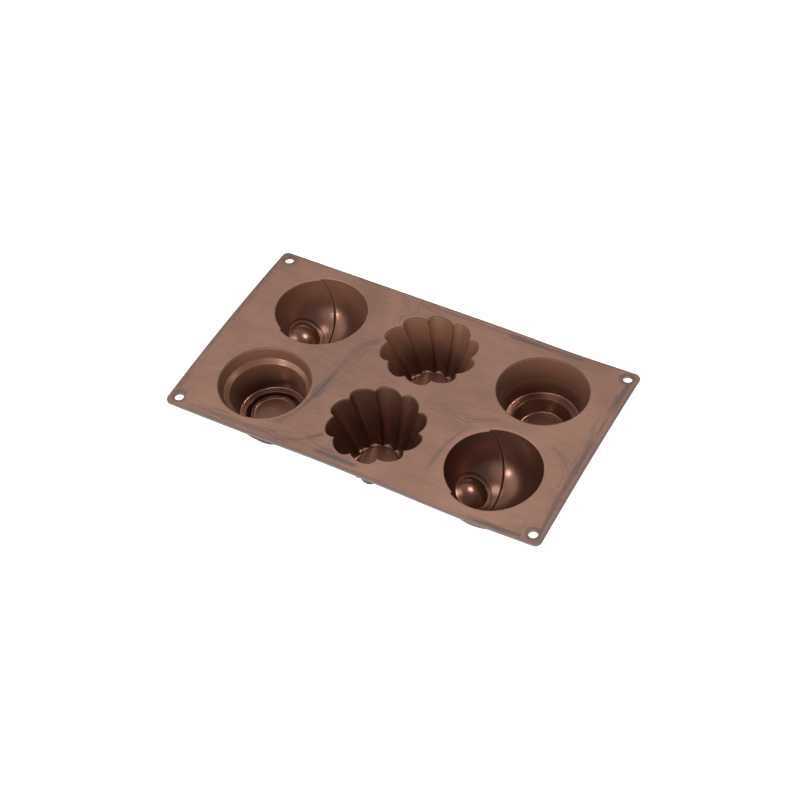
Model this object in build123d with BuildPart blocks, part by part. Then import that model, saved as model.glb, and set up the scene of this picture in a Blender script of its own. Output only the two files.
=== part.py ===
from build123d import *
import math
import os

os.makedirs("parts", exist_ok=True)

# A one-shot silicone baking mould with six cups. All sizes are in mm.
# The frame: origin at the centre of the footprint on the plane the cups stand on,
# +X along the long side, +Y towards the back row, +Z up out of the mouths.

# overall
deck_length = 300.0
deck_width = 175.0
deck_thickness = 2.4
deck_corner_radius = 5.0
deck_edge_round = 0.5
total_height = 45.0
wall = 2.2

# corner holes
hole_radius = 3.5
hole_inset_x = 8.0
hole_inset_y = 8.0

# cup grid: the columns spread with the length of the sheet
column_pitch = 0.308 * deck_length
row_pitch = 82.0

# how far below the deck top the cups' inner floors lie
cup_depth = total_height - wall
lip_round = 0.7
step_round = 0.4

# fluted cup: lopsided flutes that turn a little on their way down, in degrees
flute_count = 10
flute_lead = 24.0
flute_turn_top = -0.5
flute_twist = -12.0
flute_turn_floor = flute_turn_top + flute_twist
flute_tip_top = 36.5
flute_cusp_top = 31.8
flute_tip_floor = 17.8
flute_cusp_floor = 14.8
flute_plateau_radius = 13.8
flute_plateau_height = 1.3

# stepped cup with a collar groove: radius and depth below the deck top
collar_mouth_radius = 34.2
collar_bevel_outer = (31.6, 8.6)
collar_bevel_inner = (27.9, 11.6)
collar_floor_outer = (25.7, 34.0)
collar_floor_inner = (21.0, 34.4)
collar_groove_outer_radius = 20.4
collar_groove_inner_radius = 18.2
collar_ring_outer_radius = 17.8
collar_ring_inner_radius = 15.8
collar_ring_depth = 34.3
collar_disc_depth = 35.2

# stepped cup with a deep well: radius and depth below the deck top
well_mouth_radius = 33.8
well_bevel_outer = (31.4, 20.2)
well_bevel_inner = (30.2, 23.2)
well_ledge_outer = (27.8, 32.8)
well_ledge_inner = (21.9, 33.1)
well_floor_radius = 17.0
well_disc_radius = 13.4
well_disc_height = 1.0

# bauble cup: a ball whose side beyond a slanted plane lies further out, with a dome in a round pocket
ball_radius = 34.6
ball_step = 1.6
ball_centre_depth = cup_depth - ball_radius - ball_step
step_plane_distance = 12.9
step_plane_tilt = 66.4
pocket_tilt = 29.0
pocket_radius = 14.3
pocket_depth = 1.5
dome_ball_radius = 23.0
dome_height = 6.2

deck_top = total_height
deck_bottom = deck_top - deck_thickness
left_x = -column_pitch
right_x = column_pitch
back_y = row_pitch / 2
front_y = -back_y


def arc_about(centre, start, end):
    radius = (start - centre).length
    ThreePointArc(start, centre + ((start + end) / 2 - centre).normalized() * radius, end)


def flute_outline(tip, cusp, turn, skin):
    # a flute is a long and a short arc, both square to its tip's radius, and flutes meet in inward
    # cusps: an arc through tip and cusp has its centre at (tip^2 - cusp^2) / 2 (tip - cusp cos gap)
    step = 360 / flute_count
    near = (tip**2 - cusp**2) / (2 * (tip - cusp * math.cos(math.radians(flute_lead))))
    far = (tip**2 - cusp**2) / (2 * (tip - cusp * math.cos(math.radians(step - flute_lead))))
    # the arcs grow by the skin about their own centres, and the cusp moves to where they cross
    gap = Vector(near, 0) - Vector(far, 0).rotate(Axis.Z, -step)
    long_radius = tip - near + skin
    short_radius = tip - far + skin
    reach = (gap.length**2 + short_radius**2 - long_radius**2) / (2 * gap.length)
    rise = math.sqrt(short_radius**2 - reach**2)
    way = gap.normalized()
    side = Vector(way.Y, -way.X)
    cusp_spot = Vector(far, 0).rotate(Axis.Z, -step) + way * reach + side * rise
    for k in range(flute_count):
        angle = turn + step * k
        start = cusp_spot.rotate(Axis.Z, angle)
        top = Vector(tip + skin, 0).rotate(Axis.Z, angle)
        end = cusp_spot.rotate(Axis.Z, angle + step)
        arc_about(Vector(near, 0).rotate(Axis.Z, angle), start, top)
        arc_about(Vector(far, 0).rotate(Axis.Z, angle), top, end)


def at_depth(spot):
    # a radius and a depth below the deck top, as a point of the XZ profile
    return (spot[0], deck_top - spot[1])


# Voids are the cups' insides. Each skin is the void grown by the wall and cut off at
# the deck top, so the deck's openings and the cups' outsides share one surface.

# stepped cup with a collar groove
with BuildSketch(Plane.XZ) as collar_void:
    with BuildLine():
        Polyline(
            (0, deck_top),
            (collar_mouth_radius, deck_top),
            at_depth(collar_bevel_outer),
            at_depth(collar_bevel_inner),
            at_depth(collar_floor_outer),
            at_depth(collar_floor_inner),
            (collar_groove_outer_radius, deck_top - cup_depth),
            (collar_groove_inner_radius, deck_top - cup_depth),
            (collar_ring_outer_radius, deck_top - collar_ring_depth),
            (collar_ring_inner_radius, deck_top - collar_ring_depth),
            (collar_ring_inner_radius - 0.3, deck_top - collar_disc_depth),
            (0, deck_top - collar_disc_depth),
            close=True,
        )
    make_face()
    fillet([v for v in collar_void.vertices() if v.X > 10 and v.Y < deck_top - 1], step_round)
    mirror(about=Plane.YZ)

with BuildSketch(Plane.XZ) as collar_skin:
    add(collar_void.sketch)
    offset(amount=wall)
    with Locations((0, deck_top + 10)):
        Rectangle(200, 20, mode=Mode.SUBTRACT)
    with Locations((-100, 0)):
        Rectangle(200, 400, mode=Mode.SUBTRACT)

with BuildPart() as collar_plug:
    add(collar_skin.sketch)
    revolve(axis=Axis.Z)

with BuildPart() as collar_cup:
    add(collar_plug.part)
    with BuildSketch(Plane.XZ):
        add(collar_void.sketch)
        with Locations((-100, 0)):
            Rectangle(200, 400, mode=Mode.SUBTRACT)
    revolve(axis=Axis.Z, mode=Mode.SUBTRACT)
    mouth = collar_cup.edges().filter_by(GeomType.CIRCLE).filter_by(lambda e: abs(e.radius - collar_mouth_radius) < 0.01)
    fillet(mouth, lip_round)

# stepped cup with a deep well
with BuildSketch(Plane.XZ) as well_void:
    with BuildLine():
        Polyline(
            (0, deck_top),
            (well_mouth_radius, deck_top),
            at_depth(well_bevel_outer),
            at_depth(well_bevel_inner),
            at_depth(well_ledge_outer),
            at_depth(well_ledge_inner),
            (well_floor_radius, deck_top - cup_depth),
            (well_disc_radius, deck_top - cup_depth),
            (well_disc_radius - 0.3, deck_top - cup_depth + well_disc_height),
            (0, deck_top - cup_depth + well_disc_height),
            close=True,
        )
    make_face()
    fillet([v for v in well_void.vertices() if v.X > 10 and v.Y < deck_top - 1], step_round)
    mirror(about=Plane.YZ)

with BuildSketch(Plane.XZ) as well_skin:
    add(well_void.sketch)
    offset(amount=wall)
    with Locations((0, deck_top + 10)):
        Rectangle(200, 20, mode=Mode.SUBTRACT)
    with Locations((-100, 0)):
        Rectangle(200, 400, mode=Mode.SUBTRACT)

with BuildPart() as well_plug:
    add(well_skin.sketch)
    revolve(axis=Axis.Z)

with BuildPart() as well_cup:
    add(well_plug.part)
    with BuildSketch(Plane.XZ):
        add(well_void.sketch)
        with Locations((-100, 0)):
            Rectangle(200, 400, mode=Mode.SUBTRACT)
    revolve(axis=Axis.Z, mode=Mode.SUBTRACT)
    mouth = well_cup.edges().filter_by(GeomType.CIRCLE).filter_by(lambda e: abs(e.radius - well_mouth_radius) < 0.01)
    fillet(mouth, lip_round)

# fluted cup: the flutes taper and turn in straight lines from the mouth to the floor
with BuildPart() as fluted_plug:
    with BuildSketch(Plane.XY.offset(deck_top)):
        with BuildLine():
            flute_outline(flute_tip_top, flute_cusp_top, flute_turn_top, wall)
        make_face()
    with BuildSketch(Plane.XY):
        with BuildLine():
            flute_outline(flute_tip_floor, flute_cusp_floor, flute_turn_floor, wall)
        make_face()
    loft(ruled=True)

with BuildPart() as fluted_cup:
    add(fluted_plug.part)
    with BuildSketch(Plane.XY.offset(deck_top)):
        with BuildLine():
            flute_outline(flute_tip_top, flute_cusp_top, flute_turn_top, 0)
        make_face()
    with BuildSketch(Plane.XY.offset(wall)):
        with BuildLine():
            flute_outline(flute_tip_floor, flute_cusp_floor, flute_turn_floor, 0)
        make_face()
    loft(ruled=True, mode=Mode.SUBTRACT)
    with BuildSketch(Plane.XY.offset(wall)):
        Circle(flute_plateau_radius)
    extrude(amount=flute_plateau_height)

# bauble cup: the outside stays one plain ball
ball_centre = Vector(0, 0, deck_top - ball_centre_depth)
step_normal = Vector(-math.sin(math.radians(step_plane_tilt)), 0, -math.cos(math.radians(step_plane_tilt)))
step_plane = Plane(origin=ball_centre + step_normal * step_plane_distance, z_dir=step_normal)
pocket_normal = Vector(-math.sin(math.radians(pocket_tilt)), 0, -math.cos(math.radians(pocket_tilt)))
pocket_plane = Plane(origin=ball_centre, z_dir=pocket_normal)
dome_centre = ball_centre + pocket_normal * (ball_radius + pocket_depth - dome_height + dome_ball_radius)

with BuildPart() as bauble_plug:
    with Locations(ball_centre):
        Sphere(ball_radius + ball_step + wall)
    split(bisect_by=Plane.XY.offset(deck_top), keep=Keep.BOTTOM)

with BuildPart() as bauble_far_side:
    with Locations(ball_centre):
        Sphere(ball_radius + ball_step)
    split(bisect_by=step_plane, keep=Keep.BOTTOM)

with BuildPart() as bauble_pocket:
    with Locations(ball_centre):
        Sphere(ball_radius + pocket_depth)
    with BuildSketch(pocket_plane):
        Circle(pocket_radius)
    extrude(amount=2 * ball_radius, mode=Mode.INTERSECT)

with BuildPart() as bauble_void:
    with Locations(ball_centre):
        Sphere(ball_radius)
    add(bauble_pocket.part)
    add(bauble_far_side.part)
    with Locations(dome_centre):
        Sphere(dome_ball_radius, mode=Mode.SUBTRACT)

with BuildPart() as bauble_cup:
    add(bauble_plug.part)
    add(bauble_void.part, mode=Mode.SUBTRACT)

# deck sheet: a flat plate with an opening for each cup and a hole in each corner
with BuildPart() as deck_sheet:
    with BuildSketch(Plane.XY.offset(deck_bottom)):
        RectangleRounded(deck_length, deck_width, deck_corner_radius)
        with GridLocations(deck_length - 2 * hole_inset_x, deck_width - 2 * hole_inset_y, 2, 2):
            Circle(hole_radius, mode=Mode.SUBTRACT)
    extrude(amount=deck_thickness)
    rim = deck_sheet.faces().filter_by(Axis.Z).edges().filter_by(
        lambda e: abs(e.center().X) > deck_length / 2 - 3 or abs(e.center().Y) > deck_width / 2 - 3
    )
    fillet(rim, deck_edge_round)
    with Locations((left_x, back_y), (right_x, front_y)):
        add(bauble_plug.part, mode=Mode.SUBTRACT)
    with Locations((0, back_y), (0, front_y)):
        add(fluted_plug.part, mode=Mode.SUBTRACT)
    with Locations((left_x, front_y)):
        add(collar_plug.part, mode=Mode.SUBTRACT)
    with Locations((right_x, back_y)):
        add(well_plug.part, mode=Mode.SUBTRACT)

with BuildPart() as bauble_cup_back_left:
    with Locations((left_x, back_y)):
        add(bauble_cup.part)

with BuildPart() as fluted_cup_back:
    with Locations((0, back_y)):
        add(fluted_cup.part)

with BuildPart() as well_cup_back_right:
    with Locations((right_x, back_y)):
        add(well_cup.part)

with BuildPart() as collar_cup_front_left:
    with Locations((left_x, front_y)):
        add(collar_cup.part)

with BuildPart() as fluted_cup_front:
    with Locations((0, front_y)):
        add(fluted_cup.part)

with BuildPart() as bauble_cup_front_right:
    with Locations((right_x, front_y)):
        add(bauble_cup.part)

deck_sheet.part.label = "deck_sheet"
export_step(deck_sheet.part, "parts/deck_sheet.step")

bauble_cup_back_left.part.label = "bauble_cup_back_left"
export_step(bauble_cup_back_left.part, "parts/bauble_cup_back_left.step")

fluted_cup_back.part.label = "fluted_cup_back"
export_step(fluted_cup_back.part, "parts/fluted_cup_back.step")

well_cup_back_right.part.label = "well_cup_back_right"
export_step(well_cup_back_right.part, "parts/well_cup_back_right.step")

collar_cup_front_left.part.label = "collar_cup_front_left"
export_step(collar_cup_front_left.part, "parts/collar_cup_front_left.step")

fluted_cup_front.part.label = "fluted_cup_front"
export_step(fluted_cup_front.part, "parts/fluted_cup_front.step")

bauble_cup_front_right.part.label = "bauble_cup_front_right"
export_step(bauble_cup_front_right.part, "parts/bauble_cup_front_right.step")
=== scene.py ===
import math

import bpy
import numpy as np
from mathutils import Matrix, Vector


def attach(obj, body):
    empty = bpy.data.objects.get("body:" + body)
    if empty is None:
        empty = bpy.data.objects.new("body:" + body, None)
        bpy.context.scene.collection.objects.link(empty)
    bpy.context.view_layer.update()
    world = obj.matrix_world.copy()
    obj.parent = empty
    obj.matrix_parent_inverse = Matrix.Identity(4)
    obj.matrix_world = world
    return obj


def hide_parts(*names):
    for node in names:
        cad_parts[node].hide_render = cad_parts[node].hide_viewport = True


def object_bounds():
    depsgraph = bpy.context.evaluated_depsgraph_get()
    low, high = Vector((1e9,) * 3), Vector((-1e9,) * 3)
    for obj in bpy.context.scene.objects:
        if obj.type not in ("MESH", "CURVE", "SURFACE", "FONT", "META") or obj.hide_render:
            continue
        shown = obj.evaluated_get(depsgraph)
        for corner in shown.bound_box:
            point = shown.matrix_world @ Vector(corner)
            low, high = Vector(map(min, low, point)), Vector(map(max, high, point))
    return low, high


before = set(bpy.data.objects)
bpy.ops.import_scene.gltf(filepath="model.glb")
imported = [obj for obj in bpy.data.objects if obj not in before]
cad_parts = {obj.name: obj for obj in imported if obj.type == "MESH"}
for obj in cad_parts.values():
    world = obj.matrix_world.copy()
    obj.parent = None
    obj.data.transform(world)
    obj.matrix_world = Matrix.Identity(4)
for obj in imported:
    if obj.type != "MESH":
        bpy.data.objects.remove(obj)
cadLow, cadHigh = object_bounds()
print("loaded", len(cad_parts), "nodes")


def newMaterial(name):
    material = bpy.data.materials.new(name)
    material.use_nodes = True
    tree = material.node_tree
    return material, tree, tree.nodes["Principled BSDF"]


def addNode(tree, kind, **values):
    node = tree.nodes.new(kind)
    for key, value in values.items():
        setattr(node, key, value)
    return node


def feed(node, key, value):
    # an input takes a link from another node's output, or a plain value
    if isinstance(value, bpy.types.NodeSocket):
        node.id_data.links.new(value, node.inputs[key])
    else:
        node.inputs[key].default_value = value


def treeOf(*values):
    return next(value.id_data for value in values if isinstance(value, bpy.types.NodeSocket))


def maths(operation, first, second, clamp=False):
    node = addNode(treeOf(first, second), "ShaderNodeMath", operation=operation, use_clamp=clamp)
    feed(node, 0, first)
    feed(node, 1, second)
    return node.outputs[0]


def ramped(value, low, high, top=1.0):
    # 0 at the low end, rising smoothly to the top value at the high end
    node = addNode(value.id_data, "ShaderNodeMapRange", interpolation_type="SMOOTHSTEP")
    for key, given in (("Value", value), ("From Min", low), ("From Max", high), ("To Max", top)):
        feed(node, key, given)
    return node.outputs["Result"]


def between(share, low, high):
    # low + (high - low) * share
    return maths("ADD", maths("MULTIPLY", share, high - low), low)


def noise(vector, scale, detail, distortion=0.0):
    node = addNode(vector.id_data, "ShaderNodeTexNoise")
    feed(node, "Vector", vector)
    for key, given in (("Scale", scale), ("Detail", detail), ("Distortion", distortion)):
        feed(node, key, given)
    return node.outputs["Fac"]


def mix(share, first, second):
    # the node has sockets for every kind of value, and only those for colours are enabled
    node = addNode(treeOf(share, first, second), "ShaderNodeMix", data_type="RGBA")
    enabled = [index for index, spot in enumerate(node.inputs) if spot.enabled]
    for index, value in zip(enabled, (share, first, second)):
        feed(node, index, value)
    return next(spot for spot in node.outputs if spot.enabled)


def attribute(tree, name):
    return addNode(tree, "ShaderNodeAttribute", attribute_name=name)


def split(vector):
    node = addNode(vector.id_data, "ShaderNodeSeparateXYZ")
    feed(node, "Vector", vector)
    return node.outputs


# silicone: bronze mica sheen on the sheet, smoother and more coppery inside the cups; painted light and shade
# inside the cups and on their edges, and painted shade on their outsides
silicone = {
    "sheetDark": (0.216, 0.117, 0.085, 1),
    "sheetLight": (0.286, 0.154, 0.109, 1),
    # painted shade on the cups' outsides under the sheet
    "outside": (0.050, 0.029, 0.022, 1),
    # the cups' inside colour as a shaded copy and a lit copy, mixed as painted light and shade
    "cupShadedCopy": (0.185, 0.085, 0.058, 1),
    "cupLitCopy": (0.240, 0.112, 0.069, 1),
    # painted highlight on ridges, then painted shade in creases and on rims turned away from the front
    "edgeHighlight": (0.700, 0.330, 0.200, 1),
    "groove": (0.050, 0.026, 0.019, 1),
    "rimShade": (0.120, 0.100, 0.100, 1),
    # for the sheet and outsides, the insides' shaded copy and the insides' lit copy (painted light and shade)
    "metallic": (0.30, 0.85, 0.50),
    # for the sheet and outsides, and the insides
    "roughness": (0.52, 0.26),
    "specular": (0.25, 0.45),
    "coat": (0.0, 0.18),
    "coatRoughness": 0.10,
    "grain": (45, 320, 90),
    "broadScale": 14.0,
    "distortion": 1.2,
    "fineShare": 0.35,
    "toneSpan": (0.32, 0.68),
    # where a change begins and ends, in metres
    "paintedLitRow": (-0.02, 0.03),
    "paintedLitLeft": (-0.04, -0.06),
    "paintedLitLeftShare": 0.8,
    # painted shade deep in the cups: the lit copy fades from the first height down to the second, by the
    # share below
    "deep": (0.028, 0.010),
    "deepShare": 0.8,
    "shadeUnderSheetFrom": (0.040, 0.035),
}

# strands: dark lines along the flow curves, finer parallel ones beside them, distances in millimetres
strand = {
    "colour": (0.092, 0.070, 0.068, 1),
    "wobble": 3.0,
    "wobbleScale": 60.0,
    "alongScale": 0.035,
    "asideScale": 0.55,
    "core": (3.0, 0.3),
    "patchScale": 0.7,
    "patches": (0.30, 0.55),
    "beside": (0.48, 0.66),
    "besideReach": (8.0, 2.0),
}


def sheetTone(coord):
    # fine grain drawn out along the sheet, over broad clouds
    stretch = addNode(coord.id_data, "ShaderNodeMapping")
    feed(stretch, "Vector", coord)
    feed(stretch, "Scale", silicone["grain"])
    fine = noise(stretch.outputs["Vector"], 1.0, 6.0, silicone["distortion"])
    broad = noise(coord, silicone["broadScale"], 4.0, silicone["distortion"])
    fine = maths("MULTIPLY", fine, silicone["fineShare"])
    broad = maths("MULTIPLY", broad, 1 - silicone["fineShare"])
    tone = ramped(maths("ADD", fine, broad), *silicone["toneSpan"])
    return mix(tone, silicone["sheetDark"], silicone["sheetLight"])


def strandShare(coord):
    # the mesh gives each point's place along the nearest curve, its distance and the curve's strength
    tree = coord.id_data
    along, aside, strength = split(attribute(tree, "flow").outputs["Vector"])
    swing = maths("SUBTRACT", noise(coord, strand["wobbleScale"], 3.0), 0.5)
    off = maths("ADD", aside, maths("MULTIPLY", swing, strand["wobble"]))
    grid = addNode(tree, "ShaderNodeCombineXYZ")
    feed(grid, "X", maths("MULTIPLY", along, strand["alongScale"]))
    feed(grid, "Y", maths("MULTIPLY", off, strand["asideScale"]))
    lines = grid.outputs["Vector"]
    patchy = ramped(noise(lines, strand["patchScale"], 2.0), *strand["patches"])
    core = maths("MULTIPLY", ramped(off, *strand["core"]), patchy)
    beside = ramped(noise(lines, 1.0, 3.0), *strand["beside"])
    beside = maths("MULTIPLY", beside, ramped(off, *strand["besideReach"]))
    return maths("MULTIPLY", maths("MAXIMUM", core, beside), strength, True)


def paintedLitShare(x, y, z):
    # painted light on the back row and, by its share, on the front left cup: they take the lit copy of the
    # cups' look, lighter and less metallic; painted shade deep down takes most of it back to the shaded copy
    left = maths("MULTIPLY", ramped(x, *silicone["paintedLitLeft"]), silicone["paintedLitLeftShare"])
    paintedLit = maths("MAXIMUM", ramped(y, *silicone["paintedLitRow"]), left)
    deep = maths("MULTIPLY", ramped(z, *silicone["deep"]), silicone["deepShare"])
    return maths("MULTIPLY", paintedLit, maths("SUBTRACT", 1.0, deep))


def siliconeMaterial(name):
    material, tree, bsdf = newMaterial(name)
    coord = addNode(tree, "ShaderNodeTexCoord").outputs["Object"]
    x, y, z = split(coord)
    paintedLit = paintedLitShare(x, y, z)
    inside = attribute(tree, "inside").outputs["Fac"]
    sheetColour = mix(strandShare(coord), sheetTone(coord), strand["colour"])
    # painted shade: the outsides turn dark from just under the sheet
    sheetColour = mix(ramped(z, *silicone["shadeUnderSheetFrom"]), sheetColour, silicone["outside"])
    # inside the cups, between the shaded and the lit copy by the share of painted light
    colour = mix(inside, sheetColour, mix(paintedLit, silicone["cupShadedCopy"], silicone["cupLitCopy"]))
    # edges: painted highlights where they stand out, painted shade in creases, grey painted shade on rims
    # that turn away from the front
    shares = split(attribute(tree, "edge").outputs["Vector"])
    for share, tint in zip(shares, ("edgeHighlight", "groove", "rimShade")):
        colour = mix(share, colour, silicone[tint])
    feed(bsdf, "Base Color", colour)
    # the shaded copy is more metallic than the lit one, part of the painted light and shade
    low, front, back = silicone["metallic"]
    cupMetal = between(paintedLit, front - low, back - low)
    feed(bsdf, "Metallic", maths("ADD", maths("MULTIPLY", inside, cupMetal), low))
    feed(bsdf, "Roughness", between(inside, *silicone["roughness"]))
    feed(bsdf, "Specular IOR Level", between(inside, *silicone["specular"]))
    feed(bsdf, "Coat Weight", between(inside, *silicone["coat"]))
    feed(bsdf, "Coat Roughness", silicone["coatRoughness"])
    return material


siliconeLook = siliconeMaterial("silicone")
print("materials done")

# shapes are worked out in millimetres and written to the meshes in metres; the frame gives the extents
halfLength, halfWidth, deckTop = (round(reach * 1000, 3) for reach in cadHigh)
deckBottom = 42.6
wall = 2.2
mouthRound = 0.7
mouthFade = (0.2, 1.2)
sharpAngle = math.radians(38)
columnPitch = 92.4
rowY = 41.0
# the turns round a mouth's lip, and tolerances for points on a border
lipTurns = np.linspace(0, math.pi / 2, 6)[1:]
tiny = 1e-6
small = 1e-4

# the soft sheet arches from front to back, with bumps of (x, y, spread x, spread y, height)
sheetBend = {
    "droop": 2.7,
    "bumps": [(93, -90, 45, 35, -2.0), (-22, -90, 40, 25, 1.1), (95, 90, 40, 25, -1.2)],
}


def bend(points):
    # lift = -droop (y / halfWidth)^2 + the bumps, full at the deck and nothing at the feet
    lift = -sheetBend["droop"] * (points[:, 1] / halfWidth) ** 2
    for x, y, spreadX, spreadY, height in sheetBend["bumps"]:
        away = ((points[:, 0] - x) / spreadX) ** 2 + ((points[:, 1] - y) / spreadY) ** 2
        lift += height * np.exp(-away)
    out = points.copy()
    out[:, 2] += lift * np.clip(points[:, 2] / deckTop, 0, 1)
    return out


# edge tints, painted highlights on ridges and painted shade in creases and on rims turned away from the
# front: how sharply an edge bends before it is tinted (1/mm), and how strong each tint is
edgeTint = {
    "start": 0.10,
    "span": 0.60,
    "edgeHighlight": 1.00,
    "groove": 0.75,
    "shade": 0.70,
    "awayGain": 2.5,
    "shortest": 0.01,
}


def edgeShares(mesh, count):
    # bend at a vertex = -2 mean of (normal . step) / step length^2 over its edges, in 1/mm
    total = len(mesh.vertices)
    place, normal = np.empty(total * 3), np.empty(total * 3)
    mesh.vertices.foreach_get("co", place)
    mesh.vertices.foreach_get("normal", normal)
    place, normal = place.reshape(-1, 3) * 1000, normal.reshape(-1, 3)
    ends = np.empty(len(mesh.edges) * 2, np.int32)
    mesh.edges.foreach_get("vertices", ends)
    a, b = ends.reshape(-1, 2).T
    way = place[b] - place[a]
    square = np.maximum((way**2).sum(axis=1), edgeTint["shortest"] ** 2)
    sums = np.bincount(a, -2 * (normal[a] * way).sum(axis=1) / square, total)
    sums += np.bincount(b, 2 * (normal[b] * way).sum(axis=1) / square, total)
    bendIn = sums / np.maximum(np.bincount(np.concatenate([a, b]), minlength=total), 1)
    # painted light: a highlight on ridges facing the front, shade in hollows, grey shade on ridges turned
    # away
    ridge = np.clip((bendIn - edgeTint["start"]) / edgeTint["span"], 0, 1)
    hollow = np.clip((-bendIn - edgeTint["start"]) / edgeTint["span"], 0, 1)
    away = np.clip(normal[:, 1] * edgeTint["awayGain"], 0, 1)
    edgeHighlight = ridge * (1 - away) * edgeTint["edgeHighlight"]
    shares = np.stack([edgeHighlight, hollow * edgeTint["groove"], ridge * away * edgeTint["shade"]], axis=1)
    shares[count:] = 0
    return shares


def makeMesh(name, points, faces, attributes, nodeName, tintCount=0):
    # faces are quads of four indices, with the last repeated in a triangle; the first tintCount points
    # take edge tints, where the attributes don't give them
    mesh = bpy.data.meshes.new(name)
    quads = faces[faces[:, 2] != faces[:, 3]]
    triangles = faces[faces[:, 2] == faces[:, 3]][:, :3]
    corners = np.concatenate([quads.ravel(), triangles.ravel()]).astype(np.int32)
    sizes = np.concatenate([np.full(len(quads), 4), np.full(len(triangles), 3)]).astype(np.int32)
    starts = np.concatenate([[0], np.cumsum(sizes)[:-1]]).astype(np.int32)
    mesh.vertices.add(len(points))
    mesh.vertices.foreach_set("co", (bend(points) * 0.001).astype(np.float32).ravel())
    mesh.loops.add(len(corners))
    mesh.loops.foreach_set("vertex_index", corners)
    mesh.polygons.add(len(sizes))
    mesh.polygons.foreach_set("loop_start", starts)
    mesh.polygons.foreach_set("loop_total", sizes)
    mesh.polygons.foreach_set("use_smooth", np.ones(len(sizes), bool))
    mesh.update(calc_edges=True)
    mesh.validate()
    mesh.set_sharp_from_angle(angle=sharpAngle)
    if "edge" not in attributes:
        attributes["edge"] = edgeShares(mesh, tintCount)
    for key, values in attributes.items():
        kind, field = ("FLOAT", "value") if values.ndim == 1 else ("FLOAT_VECTOR", "vector")
        layer = mesh.attributes.new(key, kind, "POINT")
        layer.data.foreach_set(field, values.astype(np.float32).ravel())
    mesh.materials.append(siliconeLook)
    piece = bpy.data.objects.new(name, mesh)
    bpy.context.scene.collection.objects.link(piece)
    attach(piece, "root")
    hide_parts(nodeName)
    print(name, len(points), "points", len(sizes), "faces")


def ringFaces(rings, count):
    # quads between neighbouring rings of the same number of points
    k = np.arange(count)
    j = np.arange(rings - 1)[:, None]
    a = j * count + k
    b = j * count + (k + 1) % count
    return np.stack([a, b, b + count, a + count], axis=-1).reshape(-1, 4)


def fanFaces(first, count, pole, flip):
    k = np.arange(count)
    a = first + k
    b = first + (k + 1) % count
    p = np.full(count, pole)
    return np.stack([b, a, p, p], axis=-1) if flip else np.stack([a, b, p, p], axis=-1)


def closedCup(name, grid, top, foot, innerRows, tintRows, nodeName):
    # rows run from the middle of the inner floor up over the lip and down to the middle of the foot
    rows, count = grid.shape[:2]
    points = np.concatenate([grid.reshape(-1, 3), [top], [foot]])
    faces = np.concatenate([
        ringFaces(rows, count),
        fanFaces(0, count, rows * count, True),
        fanFaces((rows - 1) * count, count, rows * count + 1, False),
    ])
    # the inside's look fades in below the deck top; the lip, the outside and the foot's middle have none
    start, end = mouthFade
    inside = np.clip((deckTop - points[:, 2] - start) / (end - start), 0, 1)
    inside[innerRows * count : rows * count] = 0
    inside[-2:] = 1, 0
    makeMesh(name, points, faces, {"inside": inside}, nodeName, tintRows * count)


def turnedCup(name, middle, angles, radii, heights, innerRows, nodeName, lean=(0.0, 0.0), twist=0.0):
    # rows of radii and heights, turned by twist and moved sideways by lean with the depth below the sheet
    turned = angles + twist * np.clip(deckTop - heights, 0, None) / (deckTop - wall)
    x, y = middle[0] + radii * np.cos(turned), middle[1] + radii * np.sin(turned)
    grid = np.stack([x, y, heights], axis=-1)
    ends = [np.array([*middle, row.mean()]) for row in (heights[0], heights[-1])]
    for spots in (grid, *ends):
        hang = np.clip(deckBottom - spots[..., 2], 0, None)
        spots[..., 0] += lean[0] * hang
        spots[..., 1] += lean[1] * hang
    closedCup(name, grid, *ends, innerRows, innerRows - 1, nodeName)


# stepped cups: profiles of (radius, height, rounding), the inside's from the floor up to the mouth and the
# outside's back down. Mouth is the outer radius at the deck top and its loss per millimetre down, and lean is
# the way sideways, in x and y, per millimetre of depth, as a soft cup can hang askew
profileStep = {"inside": 1.2, "outside": 2.5}
steppedCups = {
    "collar": {
        "inside": [
            (0.6, 9.8, 0), (15.5, 9.8, 0.4), (15.8, 10.7, 0.4), (17.8, 10.7, 0.5),
            (18.2, 2.2, 0.6), (20.4, 2.2, 0.6), (21.0, 10.6, 0.5), (25.7, 11.0, 0.8),
            (27.9, 33.4, 0.5), (31.6, 36.4, 0.5), (34.2, 45.0, 0.7), (36.4, 45.0, 0),
        ],
        "outside": [
            (36.4, 45.0, 0), (33.6, 35.4, 1), (30.0, 32.3, 1), (27.7, 9.0, 1),
            (23.1, 8.6, 0.6), (22.5, 0.0, 0.6), (15.9, 0.0, 0.6), (15.7, 8.5, 0.6),
            (13.5, 8.5, 0.3), (13.3, 7.6, 0.3), (0.6, 7.6, 0),
        ],
        "mouth": (36.4, 0.30),
        "lean": (0.12, 0.065),
    },
    "well": {
        "inside": [
            (0.6, 3.2, 0), (13.1, 3.2, 0.4), (13.4, 2.2, 0.4), (17.0, 2.2, 0.8),
            (21.9, 11.9, 0.5), (27.8, 12.2, 0.8), (30.2, 21.8, 0.5), (31.4, 24.8, 0.5),
            (33.8, 45.0, 0.7), (36.0, 45.0, 0),
        ],
        "outside": [
            (36.0, 45.0, 0), (33.6, 24.2, 1), (32.3, 21.1, 1), (29.5, 10.1, 1),
            (23.3, 9.8, 0.6), (18.4, 0.0, 0.8), (11.4, 0.0, 0.3), (11.1, 1.0, 0.3),
            (0.6, 1.0, 0),
        ],
        "mouth": (36.0, 0.12),
        "lean": (0.0, 0.0),
    },
}


def stepBack(corner, end, distance):
    # from the corner towards the line's end, by less than half of the line
    length = np.linalg.norm(end - corner)
    return corner + (end - corner) / length * min(distance, length * 0.45)


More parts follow.
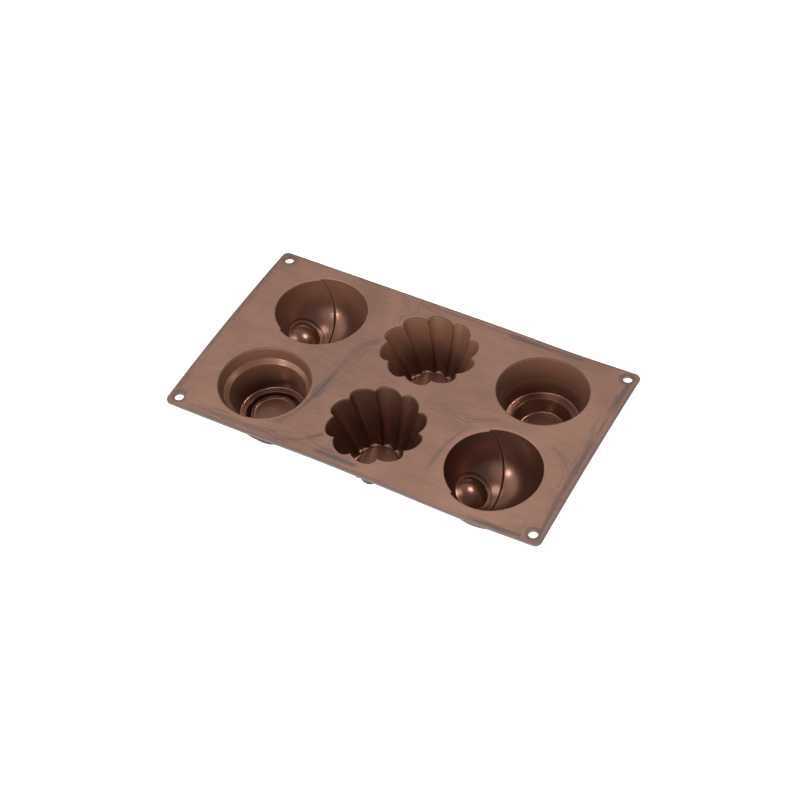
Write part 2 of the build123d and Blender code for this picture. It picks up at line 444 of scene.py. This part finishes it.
def roundedProfile(corners, step):
    # a polyline of (radius, height, rounding), each corner replaced by a smooth quadratic bend
    spots = [np.array(corners[0][:2], float)]
    t = np.linspace(0, 1, 6)[:, None]
    for before, here, after in zip(corners, corners[1:], corners[2:]):
        a, b, c = (np.array(q[:2], float) for q in (before, here, after))
        into, away = stepBack(b, a, here[2]), stepBack(b, c, here[2])
        spots.extend((1 - t) ** 2 * into + 2 * t * (1 - t) * b + t**2 * away)
    spots.append(np.array(corners[-1][:2], float))
    line = np.array(spots)
    gaps = np.linalg.norm(np.diff(line, axis=0), axis=1)
    line = line[np.concatenate([[True], gaps > small])]
    filled = [line[:1]]
    for a, b in zip(line, line[1:]):
        count = max(1, int(np.ceil(np.linalg.norm(b - a) / step)))
        filled.append(a + (b - a) * np.linspace(0, 1, count + 1)[1:, None])
    return np.concatenate(filled)


def steppedCup(name, shape, middle, angles, nodeName):
    inside, outside = (roundedProfile(shape[side], profileStep[side]) for side in ("inside", "outside"))
    profile = np.concatenate([inside, outside[1:]])
    radii = np.repeat(profile[:, :1], len(angles), axis=1)
    heights = np.repeat(profile[:, 1:], len(angles), axis=1)
    turnedCup(name, middle, angles, radii, heights, len(inside), nodeName, lean=shape["lean"])


# fluted outline: ten lopsided flutes, each a long and a short arc, that meet in cusps
flutes = {
    "count": 10,
    "step": math.radians(36),
    "lead": math.radians(24),
    "turn": math.radians(-0.5),
    "twist": math.radians(-12),
    "tipTop": 36.5,
    "cuspTop": 31.8,
    "tipFloor": 17.8,
    "cuspFloor": 14.8,
}


def arcCentres(tip, cusp):
    # an arc square to the tip's radius that passes the cusp: (tip^2 - cusp^2) / 2 (tip - cusp cos gap)
    gaps = np.array([flutes["lead"], flutes["step"] - flutes["lead"]])
    return (tip**2 - cusp**2) / (2 * (tip - cusp * np.cos(gaps)))


def fluteRadius(angles, tip, cusp, skin):
    # r = c cos a + sqrt((R + skin)^2 - (c sin a)^2), the outermost of the long and the short arcs
    near, far = arcCentres(tip, cusp)
    off = (angles - flutes["turn"] + flutes["lead"]) % flutes["step"] - flutes["lead"]
    radii = []
    step = flutes["step"]
    for centre, side in ((near, off), (far, off), (far, off + step), (near, off - step)):
        square = (tip - centre + skin) ** 2 - (centre * np.sin(side)) ** 2
        radii.append(centre * np.cos(side) + np.sqrt(np.clip(square, 0, None)))
    own = np.where(off < 0, radii[0], radii[1])
    return np.maximum(own, np.where(off < 0, radii[2], radii[3]))


def fluteAt(angles, height, skin, low):
    # straight taper between the floor outline at the low height and the mouth outline at the deck top
    t = (height - low) / (deckTop - low)
    tip = flutes["tipFloor"] + (flutes["tipTop"] - flutes["tipFloor"]) * t
    cusp = flutes["cuspFloor"] + (flutes["cuspTop"] - flutes["cuspFloor"]) * t
    return fluteRadius(angles, tip, cusp, skin)


def cuspAngle(tip, cusp, skin):
    # angle where the grown long arc crosses the grown short arc of the flute before it
    near, far = arcCentres(tip, cusp)
    first = np.array([near, 0.0])
    second = far * np.array([math.cos(-flutes["step"]), math.sin(-flutes["step"])])
    gap = np.linalg.norm(first - second)
    reach = (gap**2 + (tip - far + skin) ** 2 - (tip - near + skin) ** 2) / (2 * gap)
    way = (first - second) / gap
    rise = math.sqrt((tip - far + skin) ** 2 - reach**2)
    spot = second + way * reach + np.array([way[1], -way[0]]) * rise
    return flutes["turn"] + math.atan2(spot[1], spot[0])


# fluted cups: plateau, a rounded pit at each flute's end, the tapering wall and the lip
plateau = {"middle": 0.6, "radius": 13.8, "height": 3.5, "pitDepth": 1.3, "pitReach": 4.4, "footRound": 0.8}


def flutedCup(name, middle, angles, nodeName):
    rows = [(r, plateau["height"]) for r in np.linspace(plateau["middle"], plateau["radius"] - 0.4, 10)]
    # the pit's floor dips by a half sine wave, most where the flute reaches far
    gap = fluteAt(angles, plateau["height"], 0.0, wall) - plateau["radius"]
    depth = plateau["pitDepth"] * np.clip(gap / plateau["pitReach"], 0, 1)
    for share in np.linspace(0, 1, 17):
        radius = plateau["radius"] + gap * (0.5 - 0.5 * math.cos(math.pi * share))
        rows.append((radius, plateau["height"] - depth * math.sin(math.pi * share)))
    for z in np.linspace(plateau["height"] + 0.5, deckTop - mouthRound, 45):
        rows.append((fluteAt(angles, z, 0.0, wall), z))
    mouth = fluteAt(angles, deckTop - mouthRound, 0.0, wall)
    for turn in lipTurns:
        radius = mouth + mouthRound * (1 - math.cos(turn))
        rows.append((radius, deckTop - mouthRound * (1 - math.sin(turn))))
    innerRows = len(rows)
    footRound = plateau["footRound"]
    for z in np.linspace(deckTop, footRound, 16):
        rows.append((fluteAt(angles, z, wall, 0.0), z))
    foot = fluteAt(angles, footRound, wall, 0.0)
    for turn in np.linspace(0, math.pi / 2, 5)[1:]:
        rows.append((foot - footRound * (1 - math.cos(turn)), footRound * (1 - math.sin(turn))))
    rows += [(foot * share, 0.0) for share in (0.66, 0.33, 0.03)]
    radii, heights = (np.array([np.broadcast_to(q, angles.shape) for q in column]) for column in zip(*rows))
    turnedCup(name, middle, angles, radii, heights, innerRows, nodeName, twist=flutes["twist"])


# bauble cups: a ball with a slanted step, and a dome in a round pocket
ball = {
    "radius": 34.6,
    "step": 1.6,
    "outer": 38.4,
    "centreHeight": 38.4,
    "planeDistance": 12.9,
    "planeTilt": math.radians(66.4),
    "stepWidth": 0.70,
    "pocketTilt": math.radians(29.0),
    "pocketRadius": 14.3,
    "pocketDepth": 1.5,
    "domeRadius": 23.0,
    "domeHeight": 6.2,
    # the pocket's rounded edge: how far it falls, and in radians how fast that fades and where its rows are
    "lipFall": 0.35,
    "lipFade": 0.006,
    "lipRows": (0.0015, 0.004, 0.008, 0.014, 0.022),
    # in radians, how far from its poles the grid ends in a fan
    "poleGap": 0.02,
}
pocketWay = np.array([-math.sin(ball["pocketTilt"]), 0, -math.cos(ball["pocketTilt"])])
planeWay = np.array([-math.sin(ball["planeTilt"]), 0, -math.cos(ball["planeTilt"])])
pocketFloor = ball["radius"] + ball["pocketDepth"]
domeCentre = pocketFloor - ball["domeHeight"] + ball["domeRadius"]
# the dome meets the pocket's floor where the law of cosines gives both the same distance
squares = pocketFloor**2 + domeCentre**2 - ball["domeRadius"] ** 2
domeEdge = math.acos(squares / (2 * pocketFloor * domeCentre))
pocketEdge = math.asin(ball["pocketRadius"] / ball["radius"])


def sphereSide(ways):
    # the ball's radius along each way: the part beyond the slanted plane lies further out
    along = ball["radius"] * (ways @ planeWay)
    blend = np.clip((ball["planeDistance"] - along) / ball["stepWidth"] + 0.5, 0, 1)
    return ball["radius"] + ball["step"] * blend * blend * (3 - 2 * blend)


def pocketSide(tilt):
    # distance from the ball's centre: the dome, the pocket's floor round it, then the rounding of its edge
    if tilt < domeEdge:
        square = ball["domeRadius"] ** 2 - (domeCentre * math.sin(tilt)) ** 2
        return domeCentre * math.cos(tilt) - math.sqrt(square)
    if tilt <= pocketEdge:
        return pocketFloor
    past = tilt - pocketEdge - ball["lipRows"][0]
    return ball["radius"] + ball["lipFall"] * math.exp(-past / ball["lipFade"])


def level(rim, radius, height):
    # a ring at one height about the ball's centre
    return np.concatenate([rim * np.reshape(radius, (-1, 1)), np.full((len(rim), 1), height)], axis=1)


def baubleCup(name, middle, angles, nodeName):
    # lines run from the pocket's axis over the ball to the mouth, then down the outside
    rim = np.stack([np.cos(angles), np.sin(angles)], axis=1)
    lipHeight = deckTop - mouthRound - ball["centreHeight"]
    # the lip's reach depends on its own direction, and three rounds settle it
    reach = np.full(len(angles), ball["radius"])
    for again in range(3):
        ways = level(rim, np.sqrt(reach**2 - lipHeight**2), lipHeight) / reach[:, None]
        reach = sphereSide(ways)
    along = ways @ pocketWay
    across = ways - along[:, None] * pocketWay
    across = across / np.linalg.norm(across, axis=1)[:, None]
    nearAxis = np.concatenate([
        np.linspace(ball["poleGap"], domeEdge, 16),
        np.linspace(domeEdge, pocketEdge, 10)[1:],
        pocketEdge + np.array(ball["lipRows"]),
    ])
    rows = []
    for tilt in nearAxis:
        way = pocketWay * math.cos(tilt) + across * math.sin(tilt)
        rows.append(way * pocketSide(tilt))
    for share in np.linspace(0, 1, 161)[1:]:
        tilt = (nearAxis[-1] + (np.arccos(along) - nearAxis[-1]) * share)[:, None]
        way = pocketWay * np.cos(tilt) + across * np.sin(tilt)
        rows.append(way * sphereSide(way)[:, None])
    mouth = np.linalg.norm(rows[-1][:, :2], axis=1)
    for turn in lipTurns:
        radius = mouth + mouthRound * (1 - math.cos(turn))
        rows.append(level(rim, radius, lipHeight + mouthRound * math.sin(turn)))
    innerRows = len(rows)
    upTo = math.asin((deckTop - ball["centreHeight"]) / ball["outer"])
    for turn in np.linspace(upTo, -math.pi / 2 + ball["poleGap"], 30):
        rows.append(level(rim, ball["outer"] * math.cos(turn), ball["outer"] * math.sin(turn)))
    centre = np.array([*middle, ball["centreHeight"]])
    top = pocketWay * (pocketFloor - ball["domeHeight"]) + centre
    foot = np.array([0, 0, -ball["outer"]]) + centre
    closedCup(name, np.array(rows) + centre, top, foot, innerRows, len(nearAxis), nodeName)


def cupOutside(kind, angles, z):
    # the cup's outer radius at a height near the deck, where the sheet's opening meets it
    if kind == "fluted":
        return fluteAt(angles, z, wall, 0.0)
    if kind == "bauble":
        return np.full(len(angles), math.sqrt(ball["outer"] ** 2 - (z - ball["centreHeight"]) ** 2))
    radius, taper = steppedCups[kind]["mouth"]
    return np.full(len(angles), radius - (deckTop - z) * taper)


# each cup's name, kind, column, row and CAD node
cups = [
    ("wellCupBackRight", "well", 1, 1, "well_cup_back_right"),
    ("collarCupFrontLeft", "collar", -1, -1, "collar_cup_front_left"),
    ("flutedCupBack", "fluted", 0, 1, "fluted_cup_back"),
    ("flutedCupFront", "fluted", 0, -1, "fluted_cup_front"),
    ("baubleCupBackLeft", "bauble", -1, 1, "bauble_cup_back_left"),
    ("baubleCupFrontRight", "bauble", 1, -1, "bauble_cup_front_right"),
]

# deck sheet: a patch of rings from each opening to its cell's border, and one round each corner hole
sheet = {
    "corner": 5.0,
    "edge": 0.5,
    "square": 16.0,
    "holeX": 142.0,
    "holeY": 79.5,
    "holeRadius": 3.5,
    "step": 1.6,
    "ringStep": 1.25,
}
insetX, insetY = halfLength - sheet["edge"], halfWidth - sheet["edge"]
squareX, squareY = halfLength - sheet["square"], halfWidth - sheet["square"]
arcX, arcY = halfLength - sheet["corner"], halfWidth - sheet["corner"]
cellX = columnPitch / 2


def spread(stops):
    # evenly spaced values between the stops, and the same below zero
    pairs = zip(stops, stops[1:])
    parts = [np.linspace(a, b, int(math.ceil((b - a) / sheet["step"])) + 1) for a, b in pairs]
    half = np.unique(np.round(np.concatenate(parts), 6))
    return np.unique(np.concatenate([-half, half]))


def borderLines():
    # where points stand along the cells' borders; the cusps' rays end in points of their own, so the
    # openings keep their sharp cusps
    alongX = spread([0, cellX, squareX, arcX, insetX])
    alongY = spread([0, squareY, arcY, insetY])
    cusps = [cuspAngle(flutes["tipTop"], flutes["cuspTop"], skin) for skin in (0.0, wall)]
    angles = np.concatenate([cusp + flutes["step"] * np.arange(flutes["count"]) for cusp in cusps])
    dx, dy = np.cos(angles), np.sin(angles)
    toX = cellX / np.abs(dx)
    for side in (-1, 1):
        toY = np.where(dy * side > 0, insetY - rowY, rowY) / np.abs(dy)
        alongY = np.concatenate([alongY, (side * rowY + dy * toX)[toX < toY]])
        alongX = np.concatenate([alongX, (dx * toY)[toX >= toY]])
    return np.unique(np.round(alongX, 6)), np.unique(np.round(alongY, 6))


alongX, alongY = borderLines()


def within(line, low, high):
    return line[(line >= low - tiny) & (line <= high + tiny)]


def cellBorder(column, row):
    # border points of a cup's cell, without the corner square, in order of their angle about the cup
    low = (column - 0.5) * columnPitch if column >= 0 else -insetX
    high = (column + 0.5) * columnPitch if column <= 0 else insetX
    inner, outer = 0, row * insetY
    xs, ys = within(alongX, low, high), within(alongY, min(inner, outer), max(inner, outer))
    spots = [(x, inner) for x in xs]
    if column == 0:
        spots += [(x, y) for x in (low, high) for y in ys]
        spots += [(x, outer) for x in xs]
    else:
        side, near = (low, high) if column < 0 else (high, low)
        spots += [(near, y) for y in ys]
        spots += [(x, outer) for x in xs if abs(x) <= squareX + tiny]
        spots += [(side, y) for y in ys if abs(y) <= squareY + tiny]
        spots += [(math.copysign(squareX, side), y) for y in ys if abs(y) >= squareY - tiny]
        spots += [(x, math.copysign(squareY, outer)) for x in xs if abs(x) >= squareX - tiny]
    spots = np.unique(np.round(np.array(spots), 6), axis=0)
    angle = np.arctan2(spots[:, 1] - row * rowY, spots[:, 0] - column * columnPitch)
    return spots[np.argsort(angle)], np.sort(angle)


def cornerBorder(signX, signY):
    # the square round a corner hole, with the sheet's rounded corner, in order of angle about the hole
    inset = sheet["corner"] - sheet["edge"]
    turn = np.linspace(0, math.pi / 2, 9)[:, None]
    arc = np.concatenate([arcX + inset * np.cos(turn), arcY + inset * np.sin(turn)], axis=1)
    spots = [(squareX, y) for y in within(alongY * signY, squareY, insetY)]
    spots += [(x, squareY) for x in within(alongX * signX, squareX, insetX)]
    spots += [(x, insetY) for x in within(alongX * signX, squareX, arcX)]
    spots += [(insetX, y) for y in within(alongY * signY, squareY, arcY)]
    spots = np.unique(np.round(np.concatenate([np.array(spots), arc]), 6), axis=0) * (signX, signY)
    hole = np.array((signX * sheet["holeX"], signY * sheet["holeY"]))
    return hole, spots[np.argsort(np.arctan2(spots[:, 1] - hole[1], spots[:, 0] - hole[0]))]


def patch(centre, border, top, bottom):
    # rings outwards on the top, the same underneath, and the opening's wall between them
    middle = np.array(centre)
    reach = np.linalg.norm(border - middle, axis=1)
    rings = max(3, int(math.ceil((reach.max() - top.mean()) / sheet["ringStep"])))
    share = np.linspace(0, 1, rings + 1)[:, None]
    way = (border - middle) / reach[:, None]
    sides = []
    for radius, height in ((top, deckTop), (bottom, deckBottom)):
        size = radius + (reach - radius) * share
        flat = middle + way * size[..., None]
        flat[-1] = border
        side = np.concatenate([flat, np.full(flat.shape[:2] + (1,), height)], axis=-1)
        sides.append(side.reshape(-1, 3))
    upper = ringFaces(rings + 1, len(border))
    base = len(sides[0])
    here = np.arange(len(border))
    following = (here + 1) % len(border)
    opening = np.stack([here, following, base + following, base + here], axis=-1)
    return np.concatenate(sides), np.concatenate([upper[:, ::-1], upper + base, opening])


def rimStrip(spots):
    # a rounded strip round the sheet's outline, whose points are the outermost of the patches' borders
    onRim = (np.abs(spots[:, 0]) > insetX - small) | (np.abs(spots[:, 1]) > insetY - small)
    corner = (np.abs(spots[:, 0]) > arcX + small) & (np.abs(spots[:, 1]) > arcY + small)
    fromArc = np.linalg.norm(spots - np.sign(spots) * (arcX, arcY), axis=1)
    onArc = corner & (np.abs(fromArc - sheet["corner"] + sheet["edge"]) < small)
    outline = spots[onRim | onArc]
    outline = outline[np.argsort(np.arctan2(outline[:, 1], outline[:, 0]))]
    signs = np.sign(outline)
    onCorner = (np.abs(outline[:, 0]) > arcX) & (np.abs(outline[:, 1]) > arcY)
    onEnd = np.abs(outline[:, 0]) > insetX - small
    out = np.where(onEnd[:, None], signs * (1, 0), signs * (0, 1))
    out = np.where(onCorner[:, None], outline - signs * (arcX, arcY), out)
    out = out / np.linalg.norm(out, axis=1)[:, None]
    turn = np.linspace(0, math.pi / 2, 5)
    steps = [(sheet["edge"] * math.sin(a), deckTop - sheet["edge"] * (1 - math.cos(a))) for a in turn]
    steps += [(r, deckBottom + deckTop - z) for r, z in reversed(steps)]
    rings = [np.concatenate([outline + out * r, np.full((len(outline), 1), z)], axis=1) for r, z in steps]
    return np.concatenate(rings), ringFaces(len(steps), len(outline))[:, ::-1]


def joined(pieces):
    # one mesh of several, with the points that share a place merged
    offsets = np.cumsum([0] + [len(points) for points, faces in pieces])
    points = np.concatenate([points for points, faces in pieces])
    faces = np.concatenate([faces + offset for (spots, faces), offset in zip(pieces, offsets)])
    first, back = np.unique(np.round(points, 4), axis=0, return_index=True, return_inverse=True)[1:]
    return points[first], back.reshape(-1)[faces]


# flow curves seen on the sheet: (strength, spots), in the order left to right
flowCurves = [
    (0.80, [(-38, 31), (-47, 20), (-50, 5), (-51, -15), (-53, -35), (-58, -54), (-66, -70)]),
    (0.45, [(-43, 26), (-46, 12), (-46, -6), (-48, -26)]),
    (0.75, [(-130, -82), (-90, -82), (-50, -81), (4, -81)]),
    (0.70, [(-60, -81), (-45, -78), (-35, -71), (-27, -63)]),
    (0.50, [(-38, -72), (-24, -77), (-10, -75), (3, -76)]),
    (0.80, [(95, -85), (115, -85), (134, -84)]),
    (0.80, [(45, 82), (75, 82), (104, 83)]),
    (0.35, [(-30, 84), (10, 83), (45, 82)]),
    (0.75, [(146, -80), (145, -40), (145, 20), (145, 76)]),
    (0.55, [(34, -4), (50, -8), (62, -6), (76, 0)]),
    (0.45, [(60, -14), (53, -38), (51, -60)]),
    (0.40, [(122, -6), (134, -13), (144, -26)]),
    (0.45, [(-44, 84), (-31, 75), (-34, 63), (-31, 54)]),
    (0.50, [(-147, -82), (-148, -20), (-148, 40), (-147, 82)]),
]
# how a point picks its curve, and the dark edging along the outline and round the corner holes
marking = {
    "spacing": 0.5,
    "weakness": 4,
    "between": 400,
    "outline": 0.65,
    "outlineNarrow": 1.4,
    "outlineYield": 0.5,
    "ring": 0.75,
    "ringRadius": 4.6,
    "ringYield": 1,
    "side": 0.9,
    "sideReach": 1.1,
}


def flowCurve(spots):
    # a smooth curve through the spots (Catmull-Rom), one point per half millimetre or so
    q = np.array([spots[0], *spots, spots[-1]], float)
    pieces = []
    for a, b, c, d in zip(q, q[1:], q[2:], q[3:]):
        count = max(2, int(np.linalg.norm(c - b) / marking["spacing"]))
        t = np.linspace(0, 1, count, endpoint=False)[:, None]
        squared = (2 * a - 5 * b + 4 * c - d) * t**2
        cubed = (3 * b - a - 3 * c + d) * t**3
        pieces.append(0.5 * (2 * b + (c - a) * t + squared + cubed))
    return np.concatenate(pieces)


def sheetMarks(points):
    # flow: place along the nearest curve, distance from it and its strength
    best = np.full(len(points), 1e3)
    flow = np.zeros((len(points), 3))
    for index, (strength, spots) in enumerate(flowCurves):
        apart = np.linalg.norm(points[:, None, :2] - flowCurve(spots)[None], axis=2)
        nearest, gap = apart.argmin(axis=1), apart.min(axis=1)
        # a weak curve counts as further away, so a strong one beside it keeps its lines
        ranked = gap + marking["weakness"] * (1 - strength)
        closer = ranked < best
        best[closer] = ranked[closer]
        flow[closer, 0] = nearest[closer] * marking["spacing"] + marking["between"] * index
        flow[closer, 1] = gap[closer]
        flow[closer, 2] = strength
    # the outline, by the distance from a rectangle with rounded corners
    past = np.clip(np.abs(points[:, :2]) - (arcX, arcY), 0, None)
    inset = np.minimum(halfLength - np.abs(points[:, 0]), halfWidth - np.abs(points[:, 1]))
    inset = np.where(past.min(axis=1) > 0, sheet["corner"] - np.linalg.norm(past, axis=1), inset)
    closer = inset + marking["outlineYield"] < best
    flow[closer, 0] = points[closer, 0] + points[closer, 1]
    flow[closer, 1] = inset[closer] * marking["outlineNarrow"]
    flow[closer, 2] = marking["outline"]
    best[closer] = inset[closer]
    # the corner holes
    fromHole = np.linalg.norm(np.abs(points[:, :2]) - (sheet["holeX"], sheet["holeY"]), axis=1)
    ringGap = np.abs(fromHole - marking["ringRadius"])
    closer = ringGap + marking["ringYield"] < best
    flow[closer, 1] = ringGap[closer]
    flow[closer, 2] = marking["ring"]
    # and the sheet's side gets the rims' grey painted shade
    side = np.zeros((len(points), 3))
    side[:, 2] = marking["side"] * np.clip(marking["sideReach"] - inset, 0, 1)
    return {"inside": np.zeros(len(points)), "flow": flow, "edge": side}


patches, borders, cellAngles = [], [], {}
for name, kind, column, row, nodeName in cups:
    border, angles = cellBorder(column, row)
    cellAngles[name] = angles
    top, bottom = (cupOutside(kind, angles, height) for height in (deckTop, deckBottom))
    patches.append(patch((column * columnPitch, row * rowY), border, top, bottom))
    borders.append(border)
for signX, signY in ((-1, -1), (-1, 1), (1, -1), (1, 1)):
    hole, border = cornerBorder(signX, signY)
    radius = np.full(len(border), sheet["holeRadius"])
    patches.append(patch(hole, border, radius, radius))
    borders.append(border)
rim = rimStrip(np.unique(np.round(np.concatenate(borders), 6), axis=0))
points, faces = joined(patches + [rim])
makeMesh("deckSheet", points, faces, sheetMarks(points), "deck_sheet")

for name, kind, column, row, nodeName in cups:
    middle = (column * columnPitch, row * rowY)
    if kind == "bauble":
        baubleCup(name, middle, cellAngles[name], nodeName)
    elif kind == "fluted":
        flutedCup(name, middle, cellAngles[name], nodeName)
    else:
        steppedCup(name, steppedCups[kind], middle, cellAngles[name], nodeName)
print("pieces done")

# camera: solved from the sheet's edges and corner holes
camera = {
    "place": (0.47857, -0.82557, 1.07555),
    "right": (0.881785, 0.470362, -0.034849),
    "down": (0.327186, -0.663244, -0.673095),
    "forward": (-0.339712, 0.582124, -0.738734),
    "focalPixels": 1939.97,
    "imagePixels": 800,
    "sensorWidth": 36.0,
    "clip": (0.05, 50.0),
}
camData = bpy.data.cameras.new("camera")
camData.sensor_width = camera["sensorWidth"]
camData.lens = camera["focalPixels"] * camera["sensorWidth"] / camera["imagePixels"]
camData.clip_start, camData.clip_end = camera["clip"]
camObject = bpy.data.objects.new("camera", camData)
right, down, forward = (Vector(camera[way]) for way in ("right", "down", "forward"))
turned = Matrix((right, -down, -forward)).transposed().to_4x4()
camObject.matrix_world = Matrix.Translation(camera["place"]) @ turned
bpy.context.scene.collection.objects.link(camObject)
bpy.context.scene.camera = camObject

# lamps as (azimuth, elevation, distance, width, height, radiance, mirrored). The softboxes are found from the
# highlights' mirror directions. The low fills aren't mirrored, so they only brighten the walls
lamps = {
    "overheadSoftbox": (-120, 84, 1.6, 0.50, 0.50, 4.5, True),
    "frontSoftbox": (-108, 38, 2.2, 0.36, 0.30, 20.0, True),
    "backSoftbox": (50, 54, 1.8, 0.32, 0.32, 20.0, True),
    "frontFill": (-92, 13, 2.2, 2.4, 1.0, 6.8, False),
    "rightFill": (-38, 13, 2.2, 1.5, 0.9, 5.0, False),
}


def heading(azimuth, elevation):
    turn, rise = math.radians(azimuth), math.radians(elevation)
    return Vector((math.cos(rise) * math.cos(turn), math.cos(rise) * math.sin(turn), math.sin(rise)))


def areaLight(name, azimuth, elevation, distance, width, height, radiance, mirrored):
    data = bpy.data.lights.new(name, "AREA")
    data.shape = "RECTANGLE"
    data.size, data.size_y = width, height
    # power = radiance times pi times area
    data.energy = radiance * math.pi * width * height
    light = bpy.data.objects.new(name, data)
    light.location = heading(azimuth, elevation) * distance
    light.rotation_euler = heading(azimuth, elevation).to_track_quat("Z", "Y").to_euler()
    light.visible_glossy = mirrored
    bpy.context.scene.collection.objects.link(light)


for lampName, lamp in lamps.items():
    areaLight(lampName, *lamp)

# floor: white to the camera, with a faint shadow
floorSettings = {"size": 40.0, "grey": (0.92, 0.92, 0.92, 1), "glow": 0.62, "roughness": 0.8}
bpy.ops.mesh.primitive_plane_add(size=floorSettings["size"], location=(0, 0, 0))
floor = bpy.context.object
floor.name = "floor"


def seenDirectly(tree):
    # 1 for rays from the camera, its mirror images and what shows through
    path = addNode(tree, "ShaderNodeLightPath").outputs
    seen = maths("MAXIMUM", path["Is Camera Ray"], path["Is Glossy Ray"])
    return maths("MAXIMUM", seen, path["Is Transmission Ray"])


floorLook, tree, bsdf = newMaterial("floorLook")
feed(bsdf, "Base Color", floorSettings["grey"])
feed(bsdf, "Roughness", floorSettings["roughness"])
feed(bsdf, "Specular IOR Level", 0.0)
feed(bsdf, "Emission Color", (1, 1, 1, 1))
feed(bsdf, "Emission Strength", maths("MULTIPLY", seenDirectly(tree), floorSettings["glow"]))
floor.data.materials.append(floorLook)

# studio walls as soft glows in the sky: (azimuth, elevation, half angle, strength), over an even part
evenSky = 0.28
skyGlows = {
    "front": (-90, 40, 35, 0.70),
    "left": (-150, 40, 35, 1.2),
    "back": (125, 45, 45, 0.62),
}
world = bpy.data.worlds.new("world")
bpy.context.scene.world = world
world.use_nodes = True
background = world.node_tree.nodes["Background"]
direction = addNode(world.node_tree, "ShaderNodeTexCoord").outputs["Generated"]
strength = evenSky
for azimuth, elevation, halfAngle, glow in skyGlows.values():
    toward = addNode(world.node_tree, "ShaderNodeVectorMath", operation="DOT_PRODUCT")
    feed(toward, 0, direction)
    feed(toward, 1, heading(azimuth, elevation))
    share = ramped(toward.outputs["Value"], math.cos(math.radians(halfAngle)), 1.0, glow)
    strength = maths("ADD", share, strength)
feed(background, "Color", (1, 1, 1, 1))
feed(background, "Strength", strength)
bpy.context.scene.view_settings.view_transform = "Standard"
print("stage done")
